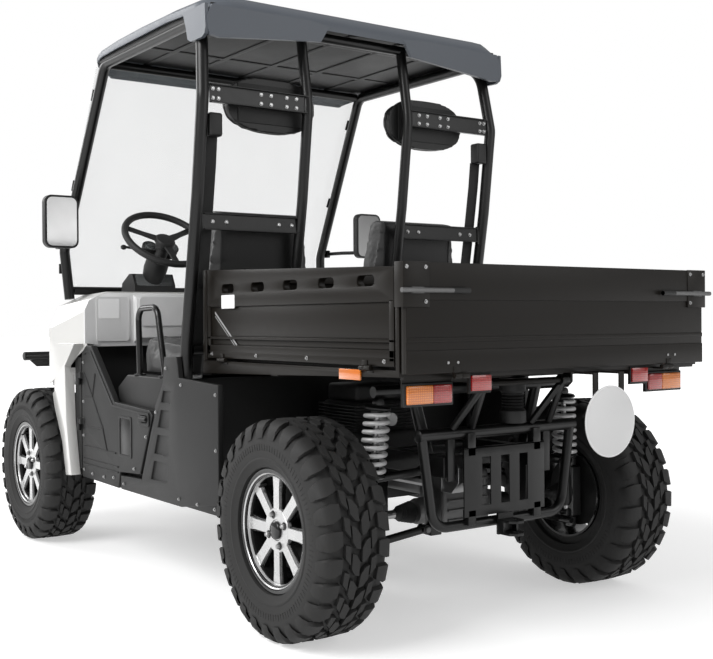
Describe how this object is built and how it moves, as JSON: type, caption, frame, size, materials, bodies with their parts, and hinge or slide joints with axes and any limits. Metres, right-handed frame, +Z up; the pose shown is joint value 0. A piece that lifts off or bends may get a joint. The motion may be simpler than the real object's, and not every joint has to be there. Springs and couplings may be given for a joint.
{
  "type": "side by side utility vehicle",
  "caption": "Two-seat utility vehicle with a tube cage and roof, half doors, and a tipping cargo bed with drop sides.",
  "frame": {"origin": "on the ground, in the middle of the length and width", "axes": "+X forwards, +Y to the driver's side, +Z up"},
  "size_m": [2.95, 1.58, 1.949],
  "materials": {
    "tyre": "matte",
    "alloy": "machined face over black paint",
    "frame_black": "satin",
    "bed_black": "satin",
    "cast_metal": "as cast",
    "grey_steel": "satin",
    "black_plastic": "fine grain",
    "body_white": "gloss",
    "seat_vinyl": "vinyl",
    "webbing": "woven",
    "grip_rubber": "matte",
    "clear_sheet": "clear",
    "lamp_clear": "clear lens",
    "lamp_amber": "ribbed lens",
    "lamp_red": "ribbed lens",
    "disc_white": "smooth"
  },
  "bodies": {
    "vehicle": {"chassis_frame": "frame_black", "rear_guard": "frame_black", "hitch_clevis": "frame_black", "bed_supports": "frame_black", "cage_left": "frame_black", "cage_right": "frame_black", "cage_middle": "frame_black", "rear_suspension": "frame_black", "front_suspension": "frame_black", "shock_absorbers": "grey_steel", "axle_drives": "cast_metal", "engine": "cast_metal", "silencer": "grey_steel", "floor_pan": "black_plastic", "seat_base": "black_plastic", "seat_side_left": "black_plastic", "seat_side_right": "black_plastic", "grab_loops": "frame_black", "seat_cushion_left": "seat_vinyl", "seat_cushion_right": "seat_vinyl", "seat_back_left": "seat_vinyl", "seat_back_right": "seat_vinyl", "headrests": "seat_vinyl", "seat_belts": "webbing", "front_body": "body_white", "grille": "black_plastic", "headlamps": "lamp_clear", "front_bumper": "frame_black", "dash_panel": "black_plastic", "steering_column": "black_plastic", "pedals": "frame_black", "windshield": "clear_sheet", "windshield_clamps": "black_plastic", "mirrors": "frame_black", "roof": "black_plastic", "door_posts": "black_plastic", "bed_buffers": "grip_rubber"},
    "wheel_rear_left": {"tyre_rear_left": "tyre", "rim_rear_left": "alloy"},
    "wheel_rear_right": {"tyre_rear_right": "tyre", "rim_rear_right": "alloy"},
    "wheel_front_left": {"tyre_front_left": "tyre", "rim_front_left": "alloy"},
    "wheel_front_right": {"tyre_front_right": "tyre", "rim_front_right": "alloy"},
    "left_knuckle": {"knuckle_left": "frame_black"},
    "right_knuckle": {"knuckle_right": "frame_black"},
    "steering_link": {"tie_rods": "frame_black"},
    "steering_wheel": {"steering_wheel": "grip_rubber"},
    "left_door": {"door_left": "black_plastic"},
    "right_door": {"door_right": "black_plastic"},
    "bed": {"bed_floor": "bed_black", "headboard": "bed_black", "tail_lamps": "lamp_amber", "reflectors": "lamp_red", "speed_disc": "disc_white"},
    "left_bed_side": {"bed_side_left": "bed_black"},
    "right_bed_side": {"bed_side_right": "bed_black"},
    "tailgate": {"tailgate": "bed_black"}
  },
  "joints": [
    {"name": "rear_left_wheel_spin", "type": "hinge", "parent": "vehicle", "child": "wheel_rear_left", "pos_m": [-0.93, 0.575, 0.311], "axis": [0, 1, 0], "continuous": true},
    {"name": "rear_right_wheel_spin", "type": "hinge", "parent": "vehicle", "child": "wheel_rear_right", "pos_m": [-0.93, -0.575, 0.311], "axis": [0, 1, 0], "continuous": true},
    {"name": "front_left_wheel_spin", "type": "hinge", "parent": "left_knuckle", "child": "wheel_front_left", "pos_m": [0.933, 0.637, 0.311], "axis": [0, 1, 0], "continuous": true},
    {"name": "front_right_wheel_spin", "type": "hinge", "parent": "right_knuckle", "child": "wheel_front_right", "pos_m": [0.933, -0.637, 0.311], "axis": [0, 1, 0], "continuous": true},
    {"name": "left_steering", "type": "hinge", "parent": "vehicle", "child": "left_knuckle", "pos_m": [0.933, 0.6, 0.311], "axis": [0, 0, 1], "range_deg": [-25, 25]},
    {"name": "right_steering", "type": "hinge", "parent": "vehicle", "child": "right_knuckle", "pos_m": [0.933, -0.6, 0.311], "axis": [0, 0, 1], "range_deg": [-25, 25]},
    {"name": "link_slide", "type": "slide", "parent": "vehicle", "child": "steering_link", "axis": [0, 1, 0], "range_m": [-0.045, 0.045]},
    {"name": "steering_wheel_turn", "type": "hinge", "parent": "vehicle", "child": "steering_wheel", "pos_m": [0.408, 0.34, 1.219], "axis": [-0.6455, 0, 0.7638], "range_deg": [-275, 275]},
    {"name": "left_door_hinge", "type": "hinge", "parent": "vehicle", "child": "left_door", "pos_m": [0.512, 0.661, 0.6], "axis": [0, 0, -1], "range_deg": [0, 70]},
    {"name": "right_door_hinge", "type": "hinge", "parent": "vehicle", "child": "right_door", "pos_m": [0.512, -0.661, 0.6], "axis": [0, 0, 1], "range_deg": [0, 70]},
    {"name": "bed_tilt", "type": "hinge", "parent": "vehicle", "child": "bed", "pos_m": [-1.25, 0, 0.715], "axis": [0, -1, 0], "range_deg": [0, 40]},
    {"name": "left_side_drop", "type": "hinge", "parent": "bed", "child": "left_bed_side", "pos_m": [-0.885, 0.582, 0.772], "axis": [-1, 0, 0], "range_deg": [0, 90]},
    {"name": "right_side_drop", "type": "hinge", "parent": "bed", "child": "right_bed_side", "pos_m": [-0.885, -0.582, 0.772], "axis": [1, 0, 0], "range_deg": [0, 90]},
    {"name": "tailgate_drop", "type": "hinge", "parent": "bed", "child": "tailgate", "pos_m": [-1.434, 0, 0.752], "axis": [0, -1, 0], "range_deg": [0, 90]}
  ],
  "couplings": [
    {"joint": "right_steering", "follows": "left_steering", "ratio": 1},
    {"joint": "link_slide", "follows": "left_steering", "m_per_rad": 0.09},
    {"joint": "steering_wheel_turn", "follows": "left_steering", "ratio": 10.8}
  ]
}
